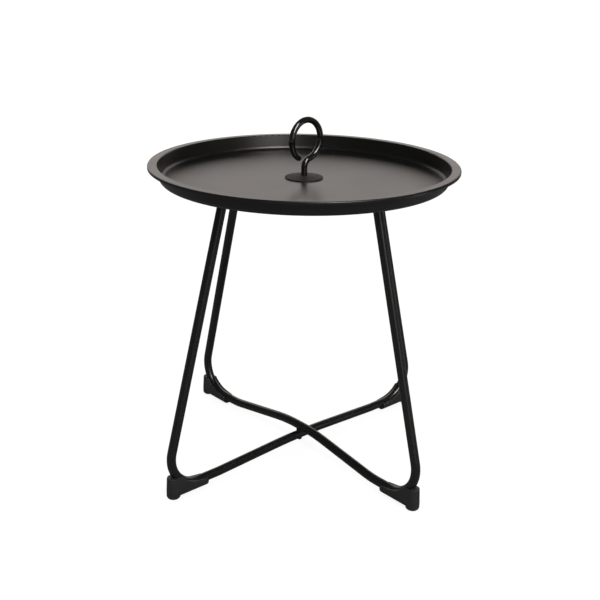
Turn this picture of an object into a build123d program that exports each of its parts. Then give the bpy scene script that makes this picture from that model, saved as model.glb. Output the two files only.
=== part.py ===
"""Folding tray table: a lift-off round tray with a ring handle on two crossed tube frames.

The origin is on the floor under the tray's axis and +Z is up. The outer frame lies along X and the
inner frame, whose rail arches over the other one, lies along Y. All sizes are in millimetres.
"""

import os
from math import atan2, cos, degrees, radians, sin, sqrt, tan

from build123d import *

# Tray
tray_diameter = 450.0
lip_height = 462.0
lip_width = 13.4
tray_depth = 22.5
wall_flare = 4.3
floor_corner_radius = 6.0
lip_corner_radius = 1.6
hem_drop = 4.0
hem_radius = 1.8
sheet = 1.2

# Ring handle: one bent rod, its flange and what clamps it
rod_diameter = 9.0
ring_radius = 28.6
ring_rise = 55.0
ring_offset = 3.0
ring_turn = 3.0
neck_radius = 12.0
ring_end_angle = 238.0
flange_diameter = 55.5
flange_edge = 1.4
flange_rise = 2.4
flange_hub_diameter = 14.0
stud_diameter = 8.0
nose_diameter = 6.6
nose_taper = 1.0
nut_width = 13.0
nut_height = 4.0
tray_washer_diameter = 30.0
tray_washer_thickness = 1.5

# Frame tubes
tube_diameter = 13.5
tube_wall = 1.2
leg_foot_reach = 264.7
leg_lean = 15.23
bend_radius = 48.0
rail_height = 13.0
outer_arch = 6.4
rail_run = 36.3
knee_radius = 150.0
crest_flat = 30.0
crest_level = 5.3

# Leg caps
cap_head = 3.0
cap_plug = 16.0

# Corner shoes
shoe_wall = 3.4
shoe_floor = 4.7
shoe_back_wall = 1.5
shoe_rail_hold = 10.5
shoe_rise = 21.0
shoe_draft = 3.0
shoe_lip_rise = 3.7
shoe_lip_slope = 8.0
shoe_corner_radius = 2.5
shoe_edge_radius = 0.9
foot_edge_radius = 5.0
shoe_screw_inset = 11.0
shoe_screw_diameter = 3.0
shoe_screw_head_diameter = 5.6
shoe_screw_head_height = 1.8
shoe_screw_recess = 2.0
shoe_screw_length = 9.0

# Top bars and the pivot between them
bar_width = 16.0
bar_thickness = 3.5
eyelet_bore = 7.4
eyelet_wall = 1.05
eyelet_flange_diameter = 15.0
eyelet_flange = 1.2
bar_washer_thickness = 1.0
nut_headroom = 0.5
stop_ear_thickness = 3.0
stop_ear_width = 4.5
stop_ear_root = 0.5

# Clips under the tray
clip_reach = 95.0
clip_length = 24.0
clip_sheet = 1.2
clip_depth = 10.2

# Pivot where the rails cross
saddle_diameter = 10.0
saddle_thickness = 1.0
pivot_screw_diameter = 5.0
pivot_head_diameter = 8.0
pivot_head_height = 2.5
insert_diameter = 7.0
insert_height = 9.0
insert_overrun = 1.5

# Clearances
fixed_fit = 0.05
running_fit = 0.05
loose_fit = 0.3

# Heights and radii that follow from the sizes above
tube_radius = tube_diameter / 2
tube_bore_radius = tube_radius - tube_wall
rod_radius = rod_diameter / 2
stud_radius = stud_diameter / 2
floor_top = lip_height - tray_depth
ring_centre_height = floor_top + ring_rise
tray_underside = floor_top - sheet
leg_top = tray_underside - cap_head
flange_top = floor_top + flange_edge + flange_rise
nut_top = tray_underside - tray_washer_thickness
nut_bottom = nut_top - nut_height
outer_bar_top = nut_bottom - nut_headroom - eyelet_flange
outer_bar_bottom = outer_bar_top - bar_thickness
inner_bar_top = outer_bar_bottom - bar_washer_thickness
inner_bar_bottom = inner_bar_top - bar_thickness
eyelet_radius = eyelet_bore / 2 + eyelet_wall
outer_crest = rail_height + outer_arch
inner_crest = outer_crest + tube_diameter + 2 * saddle_thickness
saddle_height = (outer_crest + inner_crest) / 2
pivot_radius = pivot_screw_diameter / 2
insert_bottom = inner_crest - tube_radius
insert_top = insert_bottom + insert_height


def leg_reach(height):
    """Distance of a leg's centre line from the table's axis at this height."""
    return leg_foot_reach - height * tan(radians(leg_lean))


corner_reach = leg_reach(rail_height)
bend_centre_reach = corner_reach - bend_radius / tan(radians(90 - leg_lean) / 2)
bend_centre_height = rail_height + bend_radius
knee_reach = bend_centre_reach - rail_run
shoe_radius = tube_radius + fixed_fit + shoe_wall
shoe_underside = rail_height - tube_radius - fixed_fit - shoe_floor
trough_height = shoe_underside + shoe_radius
shoe_centre = bend_centre_reach + bend_radius + tube_radius + shoe_back_wall - shoe_radius
shoe_inner_reach = bend_centre_reach - shoe_rail_hold
shoe_length = shoe_centre - shoe_inner_reach
shoe_screw_reach = shoe_inner_reach + shoe_screw_inset
shoe_screw_seat = shoe_underside + shoe_screw_recess

# The outer frame stands in the XZ plane and the inner frame in the YZ plane.
outer_plane = Plane.XZ
inner_plane = Plane.YZ
outer_angles = {"left": 180, "right": 0}
inner_angles = {"front": 270, "back": 90}


def outward(angle):
    """Unit vector from the axis towards the leg at this angle."""
    return Vector(cos(radians(angle)), sin(radians(angle)), 0)


def side_plane(angle):
    """Upright plane through the axis whose x runs out along this leg and whose y is up."""
    return Plane((0, 0, 0), x_dir=outward(angle), z_dir=outward(angle - 90))


def plan_plane(angle, height):
    """Level plane at this height whose x runs out along this leg."""
    return Plane((0, 0, height), x_dir=outward(angle), z_dir=(0, 0, 1))


def section_plane(angle, reach):
    """Upright plane square to this leg's frame, this far out, whose x is level and whose y is up."""
    return Plane(outward(angle) * reach, x_dir=outward(angle + 90), z_dir=outward(angle))


def leg_end_plane(angle):
    """Plane square to this leg at its top, facing up along the leg."""
    along_leg = outward(angle) * -sin(radians(leg_lean)) + Vector(0, 0, cos(radians(leg_lean)))
    return Plane(outward(angle) * leg_reach(leg_top) + Vector(0, 0, leg_top), z_dir=along_leg)


def bent_rod(plane, crest, radius):
    """Sweep a round section along one frame: leg, bend, arched rail, bend, leg."""
    left_side = [
        (-leg_reach(lip_height), lip_height),
        (-corner_reach, rail_height),
        (-knee_reach, rail_height),
        (-crest_flat, crest),
    ]
    right_side = [(-reach, height) for reach, height in reversed(left_side)]
    rise_angle = atan2(crest - rail_height, knee_reach - crest_flat)
    crest_radius = (crest_flat - crest_level) / tan(rise_angle / 2)
    bends = [bend_radius, knee_radius, crest_radius]
    with BuildPart() as rod:
        with BuildLine(plane) as path:
            FilletPolyline(*left_side, *right_side, radius=bends + bends[::-1])
        with BuildSketch(Plane(path.line @ 0, z_dir=path.line % 0)):
            Circle(radius)
        sweep()
        split(bisect_by=Plane.XY.offset(leg_top), keep=Keep.BOTTOM)
    return rod.part


def frame_tube(plane, crest, angles, pivot_hole_radius, pivot_hole_top, label):
    """One frame: a hollow bent tube with holes for the shoe screws and the rail pivot."""
    with BuildPart() as tube:
        add(bent_rod(plane, crest, tube_radius))
        add(bent_rod(plane, crest, tube_bore_radius), mode=Mode.SUBTRACT)
        for angle in angles.values():
            with BuildSketch(plan_plane(angle, rail_height)):
                with Locations((shoe_screw_reach, 0)):
                    Circle(shoe_screw_diameter / 2 + fixed_fit)
            extrude(amount=-tube_diameter, mode=Mode.SUBTRACT)
        with BuildSketch(Plane.XY.offset(crest - tube_diameter)):
            Circle(pivot_hole_radius)
        extrude(amount=pivot_hole_top - crest + tube_diameter, mode=Mode.SUBTRACT)
    tube.part.label = label
    return tube.part


def leg_caps(angles, label):
    """Plugs for the two leg tops of one frame, cut level so that the tray lies flat on them."""
    with BuildPart() as caps:
        for angle in angles.values():
            with BuildSketch(leg_end_plane(angle)):
                Circle(tube_radius)
            extrude(amount=tube_diameter, both=True)
        split(bisect_by=Plane.XY.offset(tray_underside), keep=Keep.BOTTOM)
        split(bisect_by=Plane.XY.offset(leg_top), keep=Keep.TOP)
        for angle in angles.values():
            with BuildSketch(leg_end_plane(angle).offset(-cap_plug)):
                Circle(tube_bore_radius - fixed_fit)
            extrude(amount=cap_plug + cap_head / 2)
    caps.part.label = label
    return caps.part


def corner_shoe(angle, rod, label):
    """Moulded shoe: a trough under the rail that ends in a round foot under the bend."""
    side = side_plane(angle)
    bend_centre = (bend_centre_reach, bend_centre_height)
    lip_radius = bend_radius - shoe_lip_rise
    uncut_length = shoe_length + shoe_wall
    along = Axis((0, 0, 0), outward(angle))
    across = Axis((0, 0, 0), outward(angle + 90))
    with BuildPart() as shoe:
        with BuildSketch(plan_plane(angle, 0)):
            with Locations((shoe_centre, 0)):
                Circle(shoe_radius)
        extrude(amount=trough_height)
        fillet(shoe.edges().group_by(Axis.Z)[0], foot_edge_radius)
        with BuildSketch(plan_plane(angle, trough_height)):
            with Locations((shoe_centre, 0)):
                Circle(shoe_radius)
                Rectangle(uncut_length, 2 * shoe_radius, align=(Align.MAX, Align.CENTER))
        extrude(amount=rail_height + shoe_rise - trough_height, taper=shoe_draft)
        with BuildSketch(section_plane(angle, shoe_centre)):
            with Locations((0, trough_height)):
                Circle(shoe_radius)
                Rectangle(
                    2 * shoe_radius, shoe_radius, align=(Align.CENTER, Align.MIN), mode=Mode.SUBTRACT
                )
        extrude(amount=-uncut_length)
        split(bisect_by=section_plane(angle, shoe_inner_reach), keep=Keep.TOP)
        with BuildSketch(side):
            with Locations(bend_centre):
                Circle(lip_radius)
                Rectangle(
                    shoe_length, 2 * lip_radius, rotation=shoe_lip_slope, align=(Align.MAX, Align.CENTER)
                )
        extrude(amount=2 * shoe_radius, both=True, mode=Mode.SUBTRACT)
        fillet(shoe.edges().filter_by(across).sort_by(along)[0], shoe_corner_radius)
        tops = shoe.faces().filter_by(lambda face: face.normal_at().Z > sin(radians(2 * shoe_draft)))
        fillet(tops.edges().filter_by(across, reverse=True), shoe_edge_radius)
        with BuildSketch(side):
            with Locations(bend_centre):
                Circle(bend_radius)
                Rectangle(shoe_length, 2 * bend_radius, align=(Align.MAX, Align.CENTER))
        extrude(amount=tube_radius + fixed_fit, both=True, mode=Mode.SUBTRACT)
        add(rod, mode=Mode.SUBTRACT)
        with BuildSketch(plan_plane(angle, shoe_underside)):
            with Locations((shoe_screw_reach, 0)):
                Circle(shoe_screw_diameter / 2 + fixed_fit)
        extrude(amount=shoe_radius, mode=Mode.SUBTRACT)
        with BuildSketch(plan_plane(angle, shoe_screw_seat)):
            with Locations((shoe_screw_reach, 0)):
                Circle(shoe_screw_head_diameter / 2 + fixed_fit)
        extrude(amount=-shoe_radius, mode=Mode.SUBTRACT)
    shoe.part.label = label
    return shoe.part


def shoe_screws(angles, label):
    """Pan-head screws from below through the shoe into the underside of the rail."""
    with BuildPart() as screws:
        for angle in angles.values():
            with BuildSketch(plan_plane(angle, shoe_screw_seat)):
                with Locations((shoe_screw_reach, 0)):
                    Circle(shoe_screw_head_diameter / 2)
            extrude(amount=-shoe_screw_head_height)
            with BuildSketch(plan_plane(angle, shoe_screw_seat)):
                with Locations((shoe_screw_reach, 0)):
                    Circle(shoe_screw_diameter / 2)
            extrude(amount=shoe_screw_length)
    screws.part.label = label
    return screws.part


def top_bar(angle, bottom, hole_radius, rod):
    """Flat bar between the two leg tops of one frame, with its ends cut to fit the tubes."""
    with BuildPart() as bar:
        with BuildSketch(plan_plane(angle, bottom)):
            Rectangle(2 * leg_reach(bottom + bar_thickness / 2), bar_width)
            Circle(hole_radius, mode=Mode.SUBTRACT)
        extrude(amount=bar_thickness)
        add(rod, mode=Mode.SUBTRACT)
    return bar.part


os.makedirs("parts", exist_ok=True)
pieces = []

# Tray pan: one pressed sheet, turned from the stud hole out to the curled hem
with BuildPart() as tray_pan:
    tray_radius = tray_diameter / 2
    lip_inner = tray_radius - lip_width
    with BuildSketch(Plane.XZ):
        with BuildLine():
            surface = FilletPolyline(
                (stud_radius + fixed_fit, floor_top),
                (lip_inner - wall_flare, floor_top),
                (lip_inner, lip_height),
                (tray_radius, lip_height),
                (tray_radius, lip_height - hem_drop),
                radius=[floor_corner_radius, lip_corner_radius, hem_radius],
            )
            offset(surface, amount=sheet, side=Side.RIGHT)
        make_face()
    revolve(axis=Axis.Z)
tray_pan.part.label = "tray_pan"
pieces.append(tray_pan.part)

# Ring handle: stem up the axis, a reverse bend to one side, then the open ring back over the top
neck_side = neck_radius - ring_offset
neck_drop = sqrt((ring_radius + neck_radius) ** 2 - neck_side**2)
stem_top = ring_centre_height - neck_drop
ring_start_angle = degrees(atan2(-neck_drop, neck_side))
ring_sweep = ring_end_angle - ring_start_angle
with BuildPart() as handle_ring:
    with BuildLine(side_plane(ring_turn)) as handle_path:
        Line((0, flange_top), (0, stem_top))
        CenterArc((neck_radius, stem_top), neck_radius, 180, ring_start_angle)
        CenterArc((ring_offset, ring_centre_height), ring_radius, ring_start_angle, ring_sweep)
    with BuildSketch(Plane.XY.offset(flange_top)):
        Circle(rod_radius)
    sweep()
    tip = handle_path.line @ 1
    with Locations(tip):
        Sphere(rod_radius)
    with BuildSketch(Plane.XY.offset(flange_top)):
        Circle(stud_radius)
    extrude(amount=nut_bottom - flange_top)
    with BuildSketch(Plane.XY.offset(nut_bottom)):
        Circle(nose_diameter / 2)
    extrude(amount=outer_bar_bottom - nut_bottom)
    chamfer(handle_ring.edges().group_by(Axis.Z)[0], nose_taper)
handle_ring.part.label = "handle_ring"
pieces.append(handle_ring.part)

# Handle flange: thin disc that rises to a small hub round the stem
with BuildPart() as handle_flange:
    with BuildSketch(Plane.XZ):
        with BuildLine():
            Polyline(
                (stud_radius + fixed_fit, floor_top),
                (flange_diameter / 2, floor_top),
                (flange_diameter / 2, floor_top + flange_edge),
                (flange_hub_diameter / 2, flange_top),
                (stud_radius + fixed_fit, flange_top),
                close=True,
            )
        make_face()
    revolve(axis=Axis.Z)
handle_flange.part.label = "handle_flange"
pieces.append(handle_flange.part)

# Washer and thin nut that clamp the handle from below
with BuildPart() as tray_washer:
    with BuildSketch(Plane.XY.offset(nut_top)):
        Circle(tray_washer_diameter / 2)
        Circle(stud_radius + fixed_fit, mode=Mode.SUBTRACT)
    extrude(amount=tray_washer_thickness)
tray_washer.part.label = "tray_washer"
pieces.append(tray_washer.part)

with BuildPart() as handle_nut:
    with BuildSketch(Plane.XY.offset(nut_bottom)):
        RegularPolygon(nut_width / 2, side_count=6, major_radius=False)
        Circle(stud_radius + fixed_fit, mode=Mode.SUBTRACT)
    extrude(amount=nut_height)
handle_nut.part.label = "handle_nut"
pieces.append(handle_nut.part)

# Clips: two folded channels under the tray that straddle the outer frame's top bar
with BuildPart() as tray_clips:
    channel_inside = bar_width + 2 * loose_fit
    for angle in outer_angles.values():
        with BuildSketch(plan_plane(angle, tray_underside)):
            with Locations((clip_reach, 0)):
                Rectangle(clip_length, channel_inside + 2 * clip_sheet)
        extrude(amount=-clip_depth)
        with BuildSketch(plan_plane(angle, tray_underside - clip_sheet)):
            with Locations((clip_reach, 0)):
                Rectangle(clip_length, channel_inside)
        extrude(amount=-clip_depth, mode=Mode.SUBTRACT)
tray_clips.part.label = "tray_clips"
pieces.append(tray_clips.part)

# Frames, each with its shoes, screws and caps
outer_rod = bent_rod(outer_plane, outer_crest, tube_radius)
inner_rod = bent_rod(inner_plane, inner_crest, tube_radius)
pieces.append(
    frame_tube(
        outer_plane,
        outer_crest,
        outer_angles,
        pivot_radius + running_fit,
        outer_crest + tube_diameter,
        "outer_frame_tube",
    )
)
pieces.append(
    frame_tube(
        inner_plane,
        inner_crest,
        inner_angles,
        insert_diameter / 2 + fixed_fit,
        inner_crest,
        "inner_frame_tube",
    )
)
for side, angle in outer_angles.items():
    pieces.append(corner_shoe(angle, outer_rod, f"outer_{side}_shoe"))
for side, angle in inner_angles.items():
    pieces.append(corner_shoe(angle, inner_rod, f"inner_{side}_shoe"))
pieces.append(shoe_screws(outer_angles, "outer_shoe_screws"))
pieces.append(shoe_screws(inner_angles, "inner_shoe_screws"))
pieces.append(leg_caps(outer_angles, "outer_leg_caps"))
pieces.append(leg_caps(inner_angles, "inner_leg_caps"))

# Outer top bar: carries two ears that stop the inner bar when the frames stand square or lie folded
with BuildPart() as outer_top_bar:
    add(top_bar(outer_angles["right"], outer_bar_bottom, eyelet_radius + fixed_fit, outer_rod))
    ear_bottom = (inner_bar_top + inner_bar_bottom) / 2
    for angle in outer_angles.values():
        with BuildSketch(plan_plane(angle, ear_bottom)):
            with Locations((bar_width / 2, bar_width / 2 - stop_ear_root)):
                Rectangle(stop_ear_thickness, stop_ear_width, align=(Align.MIN, Align.MIN))
        extrude(amount=outer_bar_top - ear_bottom)
outer_top_bar.part.label = "outer_top_bar"
pieces.append(outer_top_bar.part)

# Inner top bar: turns under the outer one
with BuildPart() as inner_top_bar:
    add(top_bar(inner_angles["back"], inner_bar_bottom, eyelet_radius + running_fit, inner_rod))
inner_top_bar.part.label = "inner_top_bar"
pieces.append(inner_top_bar.part)

# Hollow rivet that joins the top bars, and the washer between them
with BuildPart() as top_pivot_eyelet:
    barrel_bottom = inner_bar_bottom - eyelet_flange
    barrel_top = outer_bar_top + eyelet_flange
    with BuildSketch(Plane.XY.offset(barrel_bottom)):
        Circle(eyelet_radius)
    extrude(amount=barrel_top - barrel_bottom)
    for flange_bottom in (barrel_bottom, outer_bar_top):
        with BuildSketch(Plane.XY.offset(flange_bottom)):
            Circle(eyelet_flange_diameter / 2)
        extrude(amount=eyelet_flange)
    with BuildSketch(Plane.XY.offset(barrel_bottom)):
        Circle(eyelet_bore / 2)
    extrude(amount=barrel_top - barrel_bottom, mode=Mode.SUBTRACT)
top_pivot_eyelet.part.label = "top_pivot_eyelet"
pieces.append(top_pivot_eyelet.part)

with BuildPart() as top_pivot_washer:
    with BuildSketch(Plane.XY.offset(inner_bar_top)):
        Circle(bar_width / 2)
        Circle(eyelet_radius + fixed_fit, mode=Mode.SUBTRACT)
    extrude(amount=bar_washer_thickness)
top_pivot_washer.part.label = "top_pivot_washer"
pieces.append(top_pivot_washer.part)

# Saddle washers: each fits the curve of its rail and turns flat on the other
for label, rod, direction in (
    ("lower_saddle_washer", outer_rod, -1),
    ("upper_saddle_washer", inner_rod, 1),
):
    with BuildPart() as saddle_washer:
        with BuildSketch(Plane.XY.offset(saddle_height)):
            Circle(saddle_diameter / 2)
            Circle(pivot_radius + running_fit, mode=Mode.SUBTRACT)
        extrude(amount=direction * (saddle_thickness + tube_radius / 2))
        add(rod, mode=Mode.SUBTRACT)
    saddle_washer.part.label = label
    pieces.append(saddle_washer.part)

# Pivot screw from below and the threaded insert that it holds in the inner rail
with BuildPart() as pivot_screw:
    head_top = outer_crest - tube_radius
    with BuildSketch(Plane.XY.offset(head_top)):
        Circle(pivot_head_diameter / 2)
    extrude(amount=-pivot_head_height)
    with BuildSketch(Plane.XY.offset(head_top)):
        Circle(pivot_radius)
    extrude(amount=insert_top + insert_overrun - head_top)
pivot_screw.part.label = "pivot_screw"
pieces.append(pivot_screw.part)

with BuildPart() as pivot_insert:
    with BuildSketch(Plane.XY.offset(insert_bottom)):
        Circle(insert_diameter / 2)
        Circle(pivot_radius + fixed_fit, mode=Mode.SUBTRACT)
    extrude(amount=insert_height)
    add(inner_rod, mode=Mode.INTERSECT)
pivot_insert.part.label = "pivot_insert"
pieces.append(pivot_insert.part)

for piece in pieces:
    export_step(piece, f"parts/{piece.label}.step")
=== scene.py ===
from math import atan2, cos, pi, radians, sin, sqrt, tan

import bpy
from mathutils import Matrix, Vector


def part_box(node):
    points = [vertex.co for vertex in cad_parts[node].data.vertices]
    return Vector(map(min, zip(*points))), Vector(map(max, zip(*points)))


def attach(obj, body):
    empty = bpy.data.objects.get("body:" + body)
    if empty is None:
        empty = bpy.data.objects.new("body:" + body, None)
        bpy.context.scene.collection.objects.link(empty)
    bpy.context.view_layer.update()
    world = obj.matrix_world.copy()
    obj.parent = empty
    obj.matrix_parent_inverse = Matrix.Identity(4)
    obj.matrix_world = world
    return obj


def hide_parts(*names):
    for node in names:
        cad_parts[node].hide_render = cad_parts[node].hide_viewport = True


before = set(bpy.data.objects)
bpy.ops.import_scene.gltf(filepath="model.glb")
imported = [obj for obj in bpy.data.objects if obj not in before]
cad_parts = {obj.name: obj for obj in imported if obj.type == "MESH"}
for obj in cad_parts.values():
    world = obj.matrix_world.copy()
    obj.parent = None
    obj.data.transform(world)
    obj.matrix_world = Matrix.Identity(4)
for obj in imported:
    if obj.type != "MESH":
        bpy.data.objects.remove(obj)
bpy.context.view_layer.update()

# Outer frame: one length of 13.5 mm steel tube, bent into two leaning legs and a low arched rail.
# It is blasted, sprayed with satin black powder and baked, which leaves a thin skin with a fine peel.


def surface_group(name, inputs):
    """Shader group with these inputs that puts out the tone, roughness and fine relief of a surface."""
    group = bpy.data.node_groups.new(name, "ShaderNodeTree")
    for label, kind in inputs:
        group.interface.new_socket(label, in_out="INPUT", socket_type="NodeSocket" + kind)
    for label, kind in (("Color", "Color"), ("Roughness", "Float"), ("Height", "Float")):
        group.interface.new_socket(label, in_out="OUTPUT", socket_type="NodeSocket" + kind)
    return group


def powder_skin():
    """Group for baked powder: a cloudy black, a gloss that wanders a little and a fine orange peel."""
    group = surface_group(
        "powder_skin",
        (
            ("Thick Coat", "Color"),
            ("Thin Coat", "Color"),
            ("Gloss", "Float"),
            ("Gloss Spread", "Float"),
            ("Peel Scale", "Float"),
        ),
    )
    nodes, links = group.nodes, group.links
    given = nodes.new("NodeGroupInput")
    result = nodes.new("NodeGroupOutput")
    place = nodes.new("ShaderNodeTexCoord")
    cloud = nodes.new("ShaderNodeTexNoise")
    cloud.inputs["Scale"].default_value = 17.0
    cloud.inputs["Detail"].default_value = 4.0
    links.new(place.outputs["Object"], cloud.inputs["Vector"])
    tone = nodes.new("ShaderNodeMix")
    tone.data_type = "RGBA"
    links.new(cloud.outputs["Fac"], tone.inputs["Factor"])
    links.new(given.outputs["Thick Coat"], tone.inputs["A"])
    links.new(given.outputs["Thin Coat"], tone.inputs["B"])
    links.new(tone.outputs["Result"], result.inputs["Color"])
    peel = nodes.new("ShaderNodeTexNoise")
    peel.inputs["Detail"].default_value = 2.0
    peel.inputs["Roughness"].default_value = 0.4
    links.new(place.outputs["Object"], peel.inputs["Vector"])
    links.new(given.outputs["Peel Scale"], peel.inputs["Scale"])
    links.new(peel.outputs["Fac"], result.inputs["Height"])
    spread = nodes.new("ShaderNodeMath")
    spread.operation = "MULTIPLY_ADD"
    links.new(cloud.outputs["Fac"], spread.inputs[0])
    links.new(given.outputs["Gloss Spread"], spread.inputs[1])
    links.new(given.outputs["Gloss"], spread.inputs[2])
    links.new(spread.outputs["Value"], result.inputs["Roughness"])
    return group


def skinned(name, group, values, ior, relief_strength, relief_depth):
    """Material whose tone, roughness and fine relief come from a surface group with these values."""
    material = bpy.data.materials.new(name)
    material.use_nodes = True
    nodes, links = material.node_tree.nodes, material.node_tree.links
    shader = nodes["Principled BSDF"]
    shader.inputs["IOR"].default_value = ior
    skin = nodes.new("ShaderNodeGroup")
    skin.node_tree = group
    for label, value in values.items():
        skin.inputs[label].default_value = value
    bump = nodes.new("ShaderNodeBump")
    bump.inputs["Strength"].default_value = relief_strength
    bump.inputs["Distance"].default_value = relief_depth
    links.new(skin.outputs["Color"], shader.inputs["Base Color"])
    links.new(skin.outputs["Roughness"], shader.inputs["Roughness"])
    links.new(skin.outputs["Height"], bump.inputs["Height"])
    links.new(bump.outputs["Normal"], shader.inputs["Normal"])
    return material


powder_group = powder_skin()


def powder_coat(name, thick, thin, gloss, peel_scale, peel_depth, ior=1.5):
    """Satin black powder coat: its own tones, gloss and peel on the shared skin."""
    values = {
        "Thick Coat": (*thick, 1),
        "Thin Coat": (*thin, 1),
        "Gloss": gloss,
        "Gloss Spread": 0.06,
        "Peel Scale": peel_scale,
    }
    return skinned(name, powder_group, values, ior, relief_strength=0.6, relief_depth=peel_depth)


def dress(node_name, material):
    """Give a CAD node its finish."""
    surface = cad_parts[node_name].data.materials
    surface.clear()
    surface.append(material)


frame_coat = powder_coat(
    "frame_powder_coat",
    thick=(0.0072, 0.0071, 0.0069),
    thin=(0.0116, 0.0115, 0.0111),
    gloss=0.25,
    peel_scale=520.0,
    peel_depth=0.00001,
)
dress("outer_frame_tube", frame_coat)

# Inner frame: the same tube with a higher arch, so that its rail passes over the outer one when the
# frames turn. Same powder coat.
dress("inner_frame_tube", frame_coat)

# Rail pivot: a screw from below passes through the outer rail and two black nylon saddle washers and
# pulls on a threaded steel insert in the inner rail, so that the frames turn on each other.


def moulded_grain():
    """Group for moulded nylon: the fine sparked grain of the mould and a slightly uneven black."""
    group = surface_group(
        "moulded_grain",
        (("Dark", "Color"), ("Pale", "Color"), ("Grain Scale", "Float")),
    )
    nodes, links = group.nodes, group.links
    given = nodes.new("NodeGroupInput")
    result = nodes.new("NodeGroupOutput")
    place = nodes.new("ShaderNodeTexCoord")
    grain = nodes.new("ShaderNodeTexVoronoi")
    links.new(place.outputs["Object"], grain.inputs["Vector"])
    links.new(given.outputs["Grain Scale"], grain.inputs["Scale"])
    links.new(grain.outputs["Distance"], result.inputs["Height"])
    flow = nodes.new("ShaderNodeTexNoise")
    flow.inputs["Scale"].default_value = 60.0
    flow.inputs["Detail"].default_value = 3.0
    links.new(place.outputs["Object"], flow.inputs["Vector"])
    tone = nodes.new("ShaderNodeMix")
    tone.data_type = "RGBA"
    links.new(flow.outputs["Fac"], tone.inputs["Factor"])
    links.new(given.outputs["Dark"], tone.inputs["A"])
    links.new(given.outputs["Pale"], tone.inputs["B"])
    links.new(tone.outputs["Result"], result.inputs["Color"])
    rough = nodes.new("ShaderNodeMapRange")
    rough.inputs["To Min"].default_value = 0.42
    rough.inputs["To Max"].default_value = 0.56
    links.new(flow.outputs["Fac"], rough.inputs["Value"])
    links.new(rough.outputs["Result"], result.inputs["Roughness"])
    return group


moulded_group = moulded_grain()


def moulded_nylon(name, dark, pale, grain_scale, grain_depth):
    """Black nylon as it comes out of the mould."""
    values = {"Dark": (*dark, 1), "Pale": (*pale, 1), "Grain Scale": grain_scale}
    return skinned(name, moulded_group, values, ior=1.53, relief_strength=0.5, relief_depth=grain_depth)


washer_nylon = moulded_nylon(
    "washer_nylon",
    dark=(0.010, 0.010, 0.010),
    pale=(0.016, 0.016, 0.016),
    grain_scale=2600.0,
    grain_depth=0.00003,
)
dress("lower_saddle_washer", washer_nylon)
dress("upper_saddle_washer", washer_nylon)


def plated_steel(name, dull, bright, roughness, mark_scale):
    """Plated or blackened steel with fine, even marks."""
    roughness_spread = 0.08
    steel = bpy.data.materials.new(name)
    steel.use_nodes = True
    nodes, links = steel.node_tree.nodes, steel.node_tree.links
    shader = nodes["Principled BSDF"]
    shader.inputs["Metallic"].default_value = 1.0
    place = nodes.new("ShaderNodeTexCoord")
    marks = nodes.new("ShaderNodeTexNoise")
    marks.inputs["Scale"].default_value = mark_scale
    marks.inputs["Detail"].default_value = 5.0
    links.new(place.outputs["Object"], marks.inputs["Vector"])
    tone = nodes.new("ShaderNodeMix")
    tone.data_type = "RGBA"
    tone.inputs["A"].default_value = (*dull, 1)
    tone.inputs["B"].default_value = (*bright, 1)
    links.new(marks.outputs["Fac"], tone.inputs["Factor"])
    links.new(tone.outputs["Result"], shader.inputs["Base Color"])
    rough = nodes.new("ShaderNodeMapRange")
    rough.inputs["To Min"].default_value = roughness - roughness_spread
    rough.inputs["To Max"].default_value = roughness + roughness_spread
    links.new(marks.outputs["Fac"], rough.inputs["Value"])
    links.new(rough.outputs["Result"], shader.inputs["Roughness"])
    bump = nodes.new("ShaderNodeBump")
    bump.inputs["Strength"].default_value = 0.4
    bump.inputs["Distance"].default_value = 0.00002
    links.new(marks.outputs["Fac"], bump.inputs["Height"])
    links.new(bump.outputs["Normal"], shader.inputs["Normal"])
    return steel


zinc_plate = plated_steel(
    "zinc_plate",
    dull=(0.30, 0.30, 0.31),
    bright=(0.44, 0.44, 0.45),
    roughness=0.34,
    mark_scale=420.0,
)
black_oxide = plated_steel(
    "black_oxide",
    dull=(0.018, 0.018, 0.019),
    bright=(0.034, 0.034, 0.035),
    roughness=0.38,
    mark_scale=500.0,
)
dress("pivot_insert", zinc_plate)


def hold(piece):
    """Make this the one selected and active object."""
    bpy.ops.object.select_all(action="DESELECT")
    piece.select_set(True)
    bpy.context.view_layer.objects.active = piece


def settle(name):
    """Name the shape that was just added and put its place into its mesh."""
    piece = bpy.context.object
    piece.name = name
    piece.data.name = name
    bpy.ops.object.transform_apply(location=True, rotation=True, scale=True)
    return piece


def bar_stock(name, sides, radius, bottom, top, centre=(0, 0), turn=0.0):
    """Round or many-sided bar between two heights."""
    bpy.ops.object.select_all(action="DESELECT")
    bpy.ops.mesh.primitive_cylinder_add(
        vertices=sides,
        radius=radius,
        depth=top - bottom,
        location=(*centre, (bottom + top) / 2),
        rotation=(0, 0, turn),
    )
    return settle(name)


def pick(piece, wanted):
    """Open the piece for editing with only the faces that pass the test selected."""
    hold(piece)
    bpy.ops.object.mode_set(mode="EDIT")
    bpy.ops.mesh.select_mode(type="FACE")
    bpy.ops.mesh.select_all(action="DESELECT")
    bpy.ops.object.mode_set(mode="OBJECT")
    for face in piece.data.polygons:
        face.select = wanted(face)
    bpy.ops.object.mode_set(mode="EDIT")


def put_down():
    """Leave the piece as edited."""
    bpy.ops.object.mode_set(mode="OBJECT")


flat_enough = 0.9
same_level = 1e-5


def top_face(piece):
    """Test for the faces that look up at the piece's highest level."""
    level = max(corner.co.z for corner in piece.data.vertices)
    return lambda face: face.normal.z > flat_enough and abs(face.center.z - level) < same_level


def bottom_face(piece):
    """Test for the faces that look down at the piece's lowest level."""
    level = min(corner.co.z for corner in piece.data.vertices)
    return lambda face: face.normal.z < -flat_enough and abs(face.center.z - level) < same_level


def draw_up(distance):
    """Extrude the picked faces straight up."""
    bpy.ops.mesh.extrude_region_move(TRANSFORM_OT_translate={"value": (0, 0, distance)})


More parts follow.
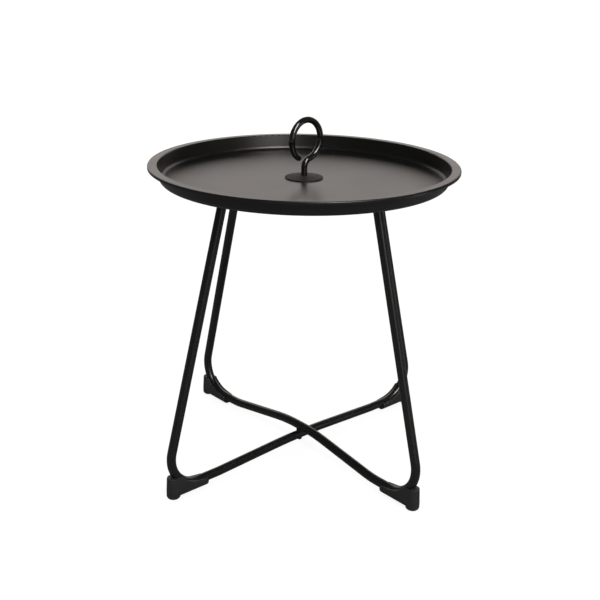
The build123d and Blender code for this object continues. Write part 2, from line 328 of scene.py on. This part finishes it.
def shape_with(piece, tool, operation):
    """Cut the tool from the piece, weld it on or keep what they share, and clear the tool away."""
    hold(piece)
    step = piece.modifiers.new("shape", "BOOLEAN")
    step.operation = operation
    step.solver = "EXACT"
    step.object = tool
    bpy.ops.object.modifier_apply(modifier=step.name)
    bpy.data.objects.remove(tool)


def smooth_faces(piece, angle=35.0):
    """Shade the piece smooth, with its edges over this angle kept sharp."""
    hold(piece)
    bpy.ops.object.shade_smooth_by_angle(angle=radians(angle))


def soften(piece, width, segments):
    """Round every sharp edge of the piece a little and shade the rest smooth."""
    sharp_angle = 40.0
    hold(piece)
    step = piece.modifiers.new("soften", "BEVEL")
    step.width = width
    step.segments = segments
    step.limit_method = "ANGLE"
    step.angle_limit = radians(sharp_angle)
    bpy.ops.object.modifier_apply(modifier=step.name)
    smooth_faces(piece)


def thread_ridge(core_radius, crest_radius, pitch, bottom, top):
    """Three-sided ridge that climbs round the axis from one height to another, with closed ends."""
    pitch_share = 0.52
    triangle_height = 1.5
    sink = 1.3
    steps_per_turn = 20
    reach = pitch * pitch_share
    section_height = reach * triangle_height
    section_depth = (crest_radius - core_radius) * sink
    bpy.ops.object.select_all(action="DESELECT")
    bpy.ops.mesh.primitive_circle_add(
        vertices=3,
        radius=reach,
        location=(crest_radius - reach, 0, bottom + reach),
        rotation=(pi / 2, pi / 2, 0),
    )
    ridge = settle("thread_ridge")
    hold(ridge)
    bpy.ops.object.mode_set(mode="EDIT")
    bpy.ops.mesh.select_all(action="SELECT")
    bpy.ops.transform.resize(
        value=(section_depth / section_height, 1, 1),
        center_override=(crest_radius, 0, 0),
    )
    put_down()
    climb = ridge.modifiers.new("climb", "SCREW")
    climb.axis = "Z"
    climb.screw_offset = pitch
    climb.iterations = int((top - bottom - 2 * reach) / pitch)
    climb.steps = steps_per_turn
    climb.render_steps = steps_per_turn
    bpy.ops.object.modifier_apply(modifier=climb.name)
    bpy.ops.object.mode_set(mode="EDIT")
    bpy.ops.mesh.select_all(action="SELECT")
    bpy.ops.mesh.fill_holes(sides=0)
    bpy.ops.mesh.select_all(action="SELECT")
    bpy.ops.mesh.normals_make_consistent(inside=False)
    put_down()
    return ridge


def fit_piece(piece, body, slot, material, *nodes):
    """Finish a piece: its coat, the body it moves with and the CAD nodes it stands for. The slot
    argument is not used.
    """
    piece.data.materials.clear()
    piece.data.materials.append(material)
    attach(piece, body)
    if nodes:
        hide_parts(*nodes)


screw_low, screw_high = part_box("pivot_screw")
insert_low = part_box("pivot_insert")[0]
pivot_head_radius = screw_high.x
pivot_head_height = 0.0025
pivot_head_crown = 0.0020
pivot_shank_radius = 0.0025
pivot_root_radius = 0.0021
pivot_pitch = 0.0008
pivot_socket_flats = 0.0030
pivot_socket_radius = pivot_socket_flats / sqrt(3)
pivot_socket_depth = 0.0014
pivot_seat = screw_low.z + pivot_head_height
pivot_bolt = bar_stock(
    "pivot_button_screw",
    sides=48,
    radius=pivot_head_radius,
    bottom=screw_low.z,
    top=pivot_seat,
)
pick(pivot_bolt, bottom_face(pivot_bolt))
bpy.ops.mesh.bevel(offset=pivot_head_crown, segments=6, profile=0.55, affect="EDGES")
put_down()
pick(pivot_bolt, top_face(pivot_bolt))
bpy.ops.mesh.inset(thickness=pivot_head_radius - pivot_shank_radius)
draw_up(insert_low.z - pivot_seat)
bpy.ops.mesh.inset(thickness=pivot_shank_radius - pivot_root_radius)
draw_up(screw_high.z - insert_low.z)
put_down()
socket = bar_stock(
    "hex_key",
    sides=6,
    radius=pivot_socket_radius,
    bottom=screw_low.z - pivot_socket_depth,
    top=screw_low.z + pivot_socket_depth,
)
shape_with(pivot_bolt, socket, "DIFFERENCE")
pivot_thread = thread_ridge(
    pivot_root_radius,
    pivot_shank_radius,
    pivot_pitch,
    insert_low.z,
    screw_high.z,
)
shape_with(pivot_bolt, pivot_thread, "UNION")
smooth_faces(pivot_bolt)
fit_piece(pivot_bolt, "inner_frame", "pivot_black", black_oxide, "pivot_screw")

# Top bars: a flat steel bar is welded between the two leg tops of each frame, and the pair turns on a
# hollow rivet with a nylon washer between them. The tray's nose drops into the rivet.
dress("outer_top_bar", frame_coat)
dress("inner_top_bar", frame_coat)
dress("top_pivot_washer", washer_nylon)

rivet_low, rivet_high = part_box("top_pivot_eyelet")
rivet_flange = 0.0012
rivet_bore_radius = 0.0037
rivet_wall = 0.00105
rivet_edge = 0.00045
rivet_barrel_radius = rivet_bore_radius + rivet_wall
rivet = bar_stock(
    "top_pivot_rivet",
    sides=48,
    radius=rivet_high.x,
    bottom=rivet_low.z,
    top=rivet_low.z + rivet_flange,
)
pick(rivet, top_face(rivet))
bpy.ops.mesh.inset(thickness=rivet_high.x - rivet_barrel_radius)
draw_up(rivet_high.z - rivet_low.z - 2 * rivet_flange)
draw_up(0)
spread = rivet_high.x / rivet_barrel_radius
bpy.ops.transform.resize(value=(spread, spread, 1), center_override=(0, 0, 0))
draw_up(rivet_flange)
put_down()
rivet_bore = bar_stock(
    "rivet_bore",
    sides=48,
    radius=rivet_bore_radius,
    bottom=rivet_low.z - rivet_flange,
    top=rivet_high.z + rivet_flange,
)
shape_with(rivet, rivet_bore, "DIFFERENCE")
soften(rivet, width=rivet_edge, segments=3)
fit_piece(rivet, "outer_frame", "fixing_steel", zinc_plate, "top_pivot_eyelet")

# Welds: a small rippled bead runs round each tube along the cut end of its bar, above and below, under
# the same coat as the frame.
leg_lean = radians(15.23)
tube_radius = 0.00675
bar_thickness = 0.0035
bead_radius = 0.0011
bead_stand_off = 0.00033
bead_ripple = 0.000176
bead_rings = 44


def weld_bead(middle, outward):
    """Rippled half ring round a leg at this point, on the side where the bar meets it."""
    bpy.ops.object.select_all(action="DESELECT")
    bpy.ops.mesh.primitive_torus_add(
        location=middle,
        major_radius=tube_radius + bead_stand_off,
        minor_radius=bead_radius,
        major_segments=bead_rings,
        minor_segments=10,
    )
    bead = settle("weld_bead")
    pick(bead, lambda face: False)
    bpy.ops.mesh.select_mode(type="VERT")
    put_down()
    for corner in bead.data.vertices:
        offset = corner.co - middle
        ring = round(atan2(offset.y, offset.x) / (2 * pi) * bead_rings)
        corner.select = ring % 2 == 0
    bpy.ops.object.mode_set(mode="EDIT")
    bpy.ops.transform.shrink_fatten(value=bead_ripple)
    bpy.ops.mesh.select_all(action="SELECT")
    bpy.ops.mesh.bisect(plane_co=middle, plane_no=outward, use_fill=True, clear_outer=True)
    put_down()
    return bead


for bar_name, body, along in (
    ("outer_top_bar", "outer_frame", Vector((1, 0, 0))),
    ("inner_top_bar", "inner_frame", Vector((0, 1, 0))),
):
    bar_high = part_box(bar_name)[1]
    bar_reach = bar_high.dot(along)
    beads = []
    for side in (1, -1):
        for level in (0, -bar_thickness):
            drift = (level + bar_thickness / 2) * tan(leg_lean)
            middle = along * side * (bar_reach - drift)
            middle.z = bar_high.z + level
            beads.append(weld_bead(middle, along * side))
    hold(beads[0])
    for bead in beads[1:]:
        bead.select_set(True)
    bpy.ops.object.join()
    welds = bpy.context.object
    welds.name = body + "_welds"
    smooth_faces(welds, angle=60.0)
    fit_piece(welds, body, "frame_coat", frame_coat)

# Leg caps: nylon plugs pressed into the leg tops and cut level, so that the tray lies on four plastic
# pads and not on the cut steel. They are moulded from the same nylon as the shoes.
shoe_nylon = moulded_nylon(
    "shoe_nylon",
    dark=(0.019, 0.0182, 0.0182),
    pale=(0.028, 0.0268, 0.0268),
    grain_scale=2100.0,
    grain_depth=0.00005,
)
dress("outer_leg_caps", shoe_nylon)
dress("inner_leg_caps", shoe_nylon)

# Corner shoes: moulded black nylon troughs that cup the bend of each tube and stand on a round pad,
# each held by one screw from below.
for shoe_name in ("outer_left_shoe", "outer_right_shoe", "inner_front_shoe", "inner_back_shoe"):
    dress(shoe_name, shoe_nylon)

shoe_screw_head = 0.0018
shoe_screw_crown = 0.00108
shoe_screw_neck = 0.0008
shoe_screw_radius = 0.0015
shoe_screw_core = 0.0011
shoe_screw_pitch = 0.0011
shoe_screw_tip = 0.0015
shoe_screw_point = 0.3
cross_length = 0.0034
cross_width = 0.0009
cross_depth = 0.0011
cross_taper = 0.35


def brick(name, centre, size, turn=0.0):
    """Square block of this size."""
    bpy.ops.object.select_all(action="DESELECT")
    bpy.ops.mesh.primitive_cube_add(size=1, location=centre, rotation=(0, 0, turn))
    bpy.context.object.scale = size
    return settle(name)


def cross_bit(level, turn):
    """One blade of the cross recess, narrower towards its bottom."""
    blade = brick("cross_bit", (0, 0, level), (cross_length, cross_width, 2 * cross_depth), turn)
    pick(blade, top_face(blade))
    bpy.ops.transform.resize(value=(cross_taper, cross_taper, 1), center_override=(0, 0, level))
    put_down()
    return blade


def pan_head_screw(name, bottom, top):
    """Pan-head screw for plastic on the table's axis, head down, with a thread and a cross recess."""
    head_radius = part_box("outer_shoe_screws")[1].y
    seat = bottom + shoe_screw_head
    screw = bar_stock(name, sides=40, radius=head_radius, bottom=bottom, top=seat)
    pick(screw, bottom_face(screw))
    bpy.ops.mesh.bevel(offset=shoe_screw_crown, segments=5, affect="EDGES")
    put_down()
    pick(screw, top_face(screw))
    bpy.ops.mesh.inset(thickness=head_radius - shoe_screw_core)
    draw_up(top - seat - shoe_screw_tip)
    draw_up(shoe_screw_tip)
    bpy.ops.transform.resize(value=(shoe_screw_point, shoe_screw_point, 1), center_override=(0, 0, 0))
    put_down()
    for turn in (0, pi / 2):
        shape_with(screw, cross_bit(bottom, turn), "DIFFERENCE")
    ridge = thread_ridge(
        shoe_screw_core,
        shoe_screw_radius,
        shoe_screw_pitch,
        seat + shoe_screw_neck,
        top - shoe_screw_tip,
    )
    shape_with(screw, ridge, "UNION")
    smooth_faces(screw)
    return screw


def add_twin(piece, move):
    """Join a second copy to the piece, with its own mesh, moved by this matrix."""
    twin_mesh = piece.data.copy()
    twin_mesh.transform(move)
    twin = bpy.data.objects.new("twin", twin_mesh)
    bpy.context.scene.collection.objects.link(twin)
    hold(piece)
    twin.select_set(True)
    bpy.ops.object.join()


for node_name, body, along in (
    ("outer_shoe_screws", "outer_frame", Vector((1, 0, 0))),
    ("inner_shoe_screws", "inner_frame", Vector((0, 1, 0))),
):
    screws_low, screws_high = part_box(node_name)
    head_radius = min(screws_high.x, screws_high.y)
    screw_reach = screws_high.dot(along) - head_radius
    screw = pan_head_screw(body + "_pan_screws", screws_low.z, screws_high.z)
    screw.data.transform(Matrix.Translation(along * screw_reach))
    add_twin(screw, Matrix.Translation(-2 * along * screw_reach))
    fit_piece(screw, body, "fixing_steel", zinc_plate, node_name)

# Tray: one disc of steel sheet, pressed to a flat floor, a flared wall and a flat lip with a turned
# hem. Its coat is the same powder, with a shallower peel than on the tubes and a little less gloss.
tray_coat = powder_coat(
    "tray_powder_coat",
    thick=(0.0052, 0.0050, 0.0048),
    thin=(0.0085, 0.0081, 0.0078),
    gloss=0.30,
    peel_scale=420.0,
    peel_depth=0.000006,
)
dress("tray_pan", tray_coat)

# Clips: two channels folded from sheet and spot welded under the tray, which straddle the outer bar so
# that the tray can't turn. Coated with the tray.
clips_low, clips_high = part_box("tray_clips")
clip_sheet = 0.0012
clip_length = 0.024
clip_edge = 0.00025
bend_outside = 0.0018
weld_radius = 0.0022
weld_dent = 0.0003
clip_middle = clips_high.x - clip_length / 2
clip_centre_z = (clips_low.z + clips_high.z) / 2
clip_size = (clip_length, clips_high.y - clips_low.y, clips_high.z - clips_low.z)
clip = brick("tray_channel_clips", (clip_middle, 0, clip_centre_z), clip_size)
hold(clip)
bpy.ops.object.mode_set(mode="EDIT")
bpy.ops.mesh.select_mode(type="EDGE")
bpy.ops.mesh.select_all(action="DESELECT")
put_down()
corners = clip.data.vertices
for edge in clip.data.edges:
    ends = [corners[index].co for index in edge.vertices]
    on_top = all(end.z > clip_centre_z for end in ends)
    runs_along = abs(ends[0].y - ends[1].y) < same_level
    edge.select = on_top and runs_along
bpy.ops.object.mode_set(mode="EDIT")
bpy.ops.mesh.bevel(offset=bend_outside, segments=5, affect="EDGES")
put_down()
channel = brick(
    "channel",
    (clip_middle, 0, clip_centre_z - clip_sheet),
    (2 * clip_length, clip_size[1] - 2 * clip_sheet, clip_size[2]),
)
shape_with(clip, channel, "DIFFERENCE")
web_underside = clips_high.z - clip_sheet
for step in (-1, 1):
    electrode = bar_stock(
        "electrode",
        sides=24,
        radius=weld_radius,
        bottom=web_underside - weld_dent,
        top=web_underside + weld_dent,
        centre=(clip_middle + step * clip_length / 4, 0),
    )
    shape_with(clip, electrode, "DIFFERENCE")
soften(clip, width=clip_edge, segments=2)
add_twin(clip, Matrix.Rotation(pi, 4, "Z"))
fit_piece(clip, "tray", "tray_coat", tray_coat, "tray_clips")

# Handle: a steel rod bent to a stem and an open ring, with a threaded foot that goes through the tray's
# floor. Its powder coat has run out glossier than the tray's.
handle_coat = powder_coat(
    "handle_powder_coat",
    thick=(0.0072, 0.0069, 0.0066),
    thin=(0.0115, 0.0110, 0.0105),
    gloss=0.06,
    peel_scale=420.0,
    peel_depth=0.000006,
    ior=1.65,
)
dress("handle_ring", handle_coat)

# Flange: a thin dished disc under the stem, pressed from sheet, with a drier, more matt coat than the
# rod. The stem's foot clamps it to the floor.
flange_coat = powder_coat(
    "flange_powder_coat",
    thick=(0.0085, 0.0078, 0.0072),
    thin=(0.0130, 0.0120, 0.0112),
    gloss=0.64,
    peel_scale=420.0,
    peel_depth=0.00001,
)
dress("handle_flange", flange_coat)

# Washer and nut: zinc-plated steel under the tray's floor. The nut is cut from hexagon bar with turned
# corners, and pulls the handle's foot and the flange tight.
dress("tray_washer", zinc_plate)

nut_low, nut_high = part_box("handle_nut")
nut_corner = nut_high.x
nut_chamfer = 0.0007
nut_edge = 0.00018
stud_hole_radius = 0.00405
drill_overrun = 0.001
nut = bar_stock(
    "handle_hex_nut",
    sides=6,
    radius=nut_corner,
    bottom=nut_low.z,
    top=nut_high.z,
    turn=pi / 2,
)
turned = bar_stock(
    "turned_corners",
    sides=60,
    radius=nut_corner,
    bottom=nut_low.z,
    top=nut_high.z,
)
for end_face in (top_face, bottom_face):
    pick(turned, end_face(turned))
    bpy.ops.mesh.bevel(offset=nut_chamfer, segments=1, affect="EDGES")
    put_down()
shape_with(nut, turned, "INTERSECT")
nut_bore = bar_stock(
    "nut_bore",
    sides=48,
    radius=stud_hole_radius,
    bottom=nut_low.z - drill_overrun,
    top=nut_high.z + drill_overrun,
)
shape_with(nut, nut_bore, "DIFFERENCE")
soften(nut, width=nut_edge, segments=2)
fit_piece(nut, "tray", "fixing_steel", zinc_plate, "handle_nut")

# Camera: stands where the photograph was taken from, a little above the tray, with the lens that was
# fitted to the tray's rim, the legs and the feet.
camera_bearing = radians(-42.13)
camera_distance = 1.34356
camera_height = 0.75427
camera_pitch = radians(20.599)
camera_pan = radians(0.12)
camera_roll = radians(0.994)
focal_pixels = 940.56
image_pixels = 600
lens = bpy.data.cameras.new("photo_camera")
lens.sensor_width = 36.0
lens.lens = focal_pixels / image_pixels * lens.sensor_width
camera = bpy.data.objects.new("photo_camera", lens)
bpy.context.scene.collection.objects.link(camera)
aim = (
    Matrix.Rotation(camera_bearing + camera_pan, 4, "Z")
    @ Matrix.Rotation(pi / 2 - camera_pitch, 4, "X")
    @ Matrix.Rotation(camera_roll, 4, "Z")
)
away = Vector((-sin(camera_bearing), cos(camera_bearing), 0))
rightward = Vector((cos(camera_bearing), sin(camera_bearing), 0))
upward = Vector((0, 0, 1))
camera.matrix_world = Matrix.Translation(upward * camera_height - away * camera_distance) @ aim
bpy.context.scene.camera = camera
bpy.context.scene.view_settings.view_transform = "Standard"

# Floor: a plain sheet of pale paper. To the camera it glows up to white and keeps a soft shadow, and
# to the object it is only a pale grey below.
floor_size = 400.0
floor_tone = 0.30
floor_glow = 0.87


def combine(tree, operation, first, second):
    """One math node on two sockets or numbers."""
    step = tree.nodes.new("ShaderNodeMath")
    step.operation = operation
    for socket, value in zip(step.inputs, (first, second)):
        if isinstance(value, float):
            socket.default_value = value
        else:
            tree.links.new(value, socket)
    return step.outputs["Value"]


def plain_view(tree):
    """Mask of the rays that look straight from the camera, or on through something clear."""
    ray = tree.nodes.new("ShaderNodeLightPath")
    return combine(tree, "MAXIMUM", ray.outputs["Is Camera Ray"], ray.outputs["Is Transmission Ray"])


bpy.ops.object.select_all(action="DESELECT")
bpy.ops.mesh.primitive_plane_add(size=floor_size)
floor = bpy.context.object
floor.name = "studio_floor"
paper = bpy.data.materials.new("floor_paper")
paper.use_nodes = True
tree = paper.node_tree
tree.nodes.clear()
surface_out = tree.nodes.new("ShaderNodeOutputMaterial")
glow = tree.nodes.new("ShaderNodeEmission")
tree.links.new(combine(tree, "MULTIPLY", plain_view(tree), floor_glow), glow.inputs["Strength"])
matte = tree.nodes.new("ShaderNodeBsdfDiffuse")
matte.inputs["Color"].default_value = (floor_tone, floor_tone, floor_tone, 1)
both = tree.nodes.new("ShaderNodeAddShader")
tree.links.new(glow.outputs["Emission"], both.inputs[0])
tree.links.new(matte.outputs["BSDF"], both.inputs[1])
tree.links.new(both.outputs["Shader"], surface_out.inputs["Surface"])
floor.data.materials.append(paper)

# Studio: an even room for the soft light. What the coats mirror is a lit backdrop behind the table, an
# upright panel of light right of the camera, brighter in its upper half, and a dim room. The camera
# sees plain white behind the object.
room_light = 0.7
mirrored_room = 0.07
mirrored_tint = (1.0, 0.925, 0.875)
backdrop_light = 1.2
backdrop_bearing = 5.0
backdrop_half_width = 40.0
backdrop_side_blur = 6.0
backdrop_top = 30.0
backdrop_top_blur = 1.5
panel_bearing = 150.0
panel_half_width = 14.0
panel_side_blur = 2.0
panel_top_blur = 4.0
lower_panel_light = 1.5
lower_panel_top = 33.0
upper_panel_light = 13.0
upper_panel_top = 65.0
studio = bpy.data.worlds.new("studio")
bpy.context.scene.world = studio
studio.use_nodes = True
tree = studio.node_tree
tree.nodes.clear()
world_out = tree.nodes.new("ShaderNodeOutputWorld")
heading = tree.nodes.new("ShaderNodeTexCoord").outputs["Generated"]
flatten = tree.nodes.new("ShaderNodeVectorMath")
flatten.operation = "MULTIPLY"
flatten.inputs[1].default_value = (1, 1, 0)
tree.links.new(heading, flatten.inputs[0])
stretch = tree.nodes.new("ShaderNodeVectorMath")
stretch.operation = "NORMALIZE"
tree.links.new(flatten.outputs["Vector"], stretch.inputs[0])
level_heading = stretch.outputs["Vector"]


def towards(bearing):
    """Level direction at this many degrees to the right of straight away from the camera."""
    return away * cos(radians(bearing)) + rightward * sin(radians(bearing))


def facing(seen, direction, start, full):
    """Mask that grows from 0 to 1 as the seen heading turns towards this direction."""
    dot = tree.nodes.new("ShaderNodeVectorMath")
    dot.operation = "DOT_PRODUCT"
    dot.inputs[1].default_value = direction
    tree.links.new(seen, dot.inputs[0])
    ramp = tree.nodes.new("ShaderNodeMapRange")
    ramp.interpolation_type = "SMOOTHSTEP"
    ramp.inputs["From Min"].default_value = start
    ramp.inputs["From Max"].default_value = full
    tree.links.new(dot.outputs["Value"], ramp.inputs["Value"])
    return ramp.outputs["Result"]


def lit_panel(bearing, half_width, side_blur, top, top_blur):
    """Mask of an upright panel of light that stands at this bearing and ends at this elevation."""
    sides = facing(
        level_heading,
        towards(bearing),
        start=cos(radians(half_width + side_blur)),
        full=cos(radians(half_width - side_blur)),
    )
    below = facing(
        heading,
        -upward,
        start=-sin(radians(top + top_blur)),
        full=-sin(radians(top - top_blur)),
    )
    return combine(tree, "MULTIPLY", sides, below)


backdrop = lit_panel(
    backdrop_bearing,
    backdrop_half_width,
    backdrop_side_blur,
    backdrop_top,
    backdrop_top_blur,
)
lower_panel = lit_panel(
    panel_bearing,
    panel_half_width,
    panel_side_blur,
    lower_panel_top,
    panel_top_blur,
)
whole_panel = lit_panel(
    panel_bearing,
    panel_half_width,
    panel_side_blur,
    upper_panel_top,
    panel_top_blur,
)
mirrored = mirrored_room
for mask, gain in (
    (backdrop, backdrop_light - mirrored_room),
    (whole_panel, upper_panel_light - mirrored_room),
    (lower_panel, lower_panel_light - upper_panel_light),
):
    mirrored = combine(tree, "ADD", combine(tree, "MULTIPLY", mask, gain), mirrored)
room = tree.nodes.new("ShaderNodeBackground")
room.inputs["Strength"].default_value = room_light
mirror_view = tree.nodes.new("ShaderNodeBackground")
mirror_view.inputs["Color"].default_value = (*mirrored_tint, 1)
tree.links.new(mirrored, mirror_view.inputs["Strength"])
white = tree.nodes.new("ShaderNodeBackground")
white.inputs["Color"].default_value = (1, 1, 1, 1)
ray = tree.nodes.new("ShaderNodeLightPath")
by_gloss = tree.nodes.new("ShaderNodeMixShader")
tree.links.new(ray.outputs["Is Glossy Ray"], by_gloss.inputs["Fac"])
tree.links.new(room.outputs["Background"], by_gloss.inputs[1])
tree.links.new(mirror_view.outputs["Background"], by_gloss.inputs[2])
by_view = tree.nodes.new("ShaderNodeMixShader")
tree.links.new(plain_view(tree), by_view.inputs["Fac"])
tree.links.new(by_gloss.outputs["Shader"], by_view.inputs[1])
tree.links.new(white.outputs["Background"], by_view.inputs[2])
tree.links.new(by_view.outputs["Shader"], world_out.inputs["Surface"])

# Lamps: a soft box right of the camera draws the crisp lines on the handle and the lip, and a weak
# strip further right lights the edges of the legs.
handle_middle = upward * 0.49
leg_middle = upward * 0.40


def studio_lamp(name, bearing, distance, height, target, width, length, watts):
    """Soft rectangular lamp at this bearing and height, aimed at a point on the table's axis."""
    lamp = bpy.data.lights.new(name, "AREA")
    lamp.shape = "RECTANGLE"
    lamp.size = width
    lamp.size_y = length
    lamp.energy = watts
    place = towards(bearing) * distance + upward * height
    turn = (target - place).to_track_quat("-Z", "Y")
    stand = bpy.data.objects.new(name, lamp)
    bpy.context.scene.collection.objects.link(stand)
    stand.matrix_world = Matrix.Translation(place) @ turn.to_matrix().to_4x4()
    stand.visible_camera = False


studio_lamp(
    "right_softbox",
    bearing=154.0,
    distance=1.34,
    height=1.20,
    target=handle_middle,
    width=0.25,
    length=0.40,
    watts=5.0,
)
studio_lamp(
    "side_strip",
    bearing=98.0,
    distance=1.2,
    height=0.30,
    target=leg_middle,
    width=0.10,
    length=0.50,
    watts=0.35,
)
